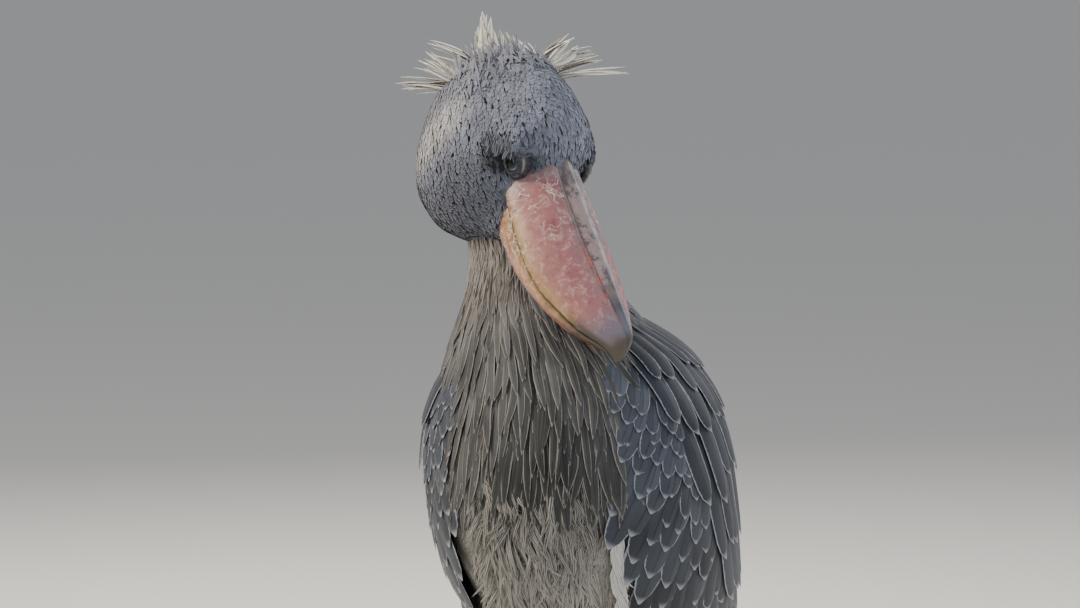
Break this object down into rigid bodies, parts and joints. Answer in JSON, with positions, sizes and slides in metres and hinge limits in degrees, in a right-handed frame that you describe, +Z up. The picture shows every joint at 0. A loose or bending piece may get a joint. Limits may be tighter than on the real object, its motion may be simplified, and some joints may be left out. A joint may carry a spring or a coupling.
{
  "type": "shoebill",
  "caption": "Life-size standing shoebill with folded wings, crest, turned head and a broad hooked bill hanging before its breast.",
  "frame": {"origin": "on the floor, under the middle of the bounding box", "axes": "+Z up, the breast faces -Y, the bird's left side is +X"},
  "size_m": [0.315, 0.559, 1.1315],
  "materials": {
    "feathers_grey": "matt feathers, warm grey with pale edges",
    "feathers_head": "matt short feathers, blue-grey, with a cream crest",
    "feathers_slate": "satin flight feathers, slate with pale grey edges",
    "bill": "dry horn, pink to yellowish, with flakes and dark flecks",
    "eye": "wet cornea over a grey-blue iris",
    "leg_skin": "scaly dark grey skin",
    "claw": "dark horn"
  },
  "bodies": {
    "root": {"torso": "feathers_grey", "neck": "feathers_grey", "tail": "feathers_slate", "wing_left": "feathers_slate", "wing_right": "feathers_slate", "thigh_left": "feathers_grey", "shank_left": "leg_skin", "foot_left": "leg_skin", "claw_left_middle": "claw", "claw_left_inner": "claw", "claw_left_outer": "claw", "claw_left_hind": "claw", "thigh_right": "feathers_grey", "shank_right": "leg_skin", "foot_right": "leg_skin", "claw_right_middle": "claw", "claw_right_inner": "claw", "claw_right_outer": "claw", "claw_right_hind": "claw", "head": "feathers_head", "bill_upper": "bill", "bill_lower": "bill", "eye_left": "eye", "eye_right": "eye"}
  },
  "joints": []
}
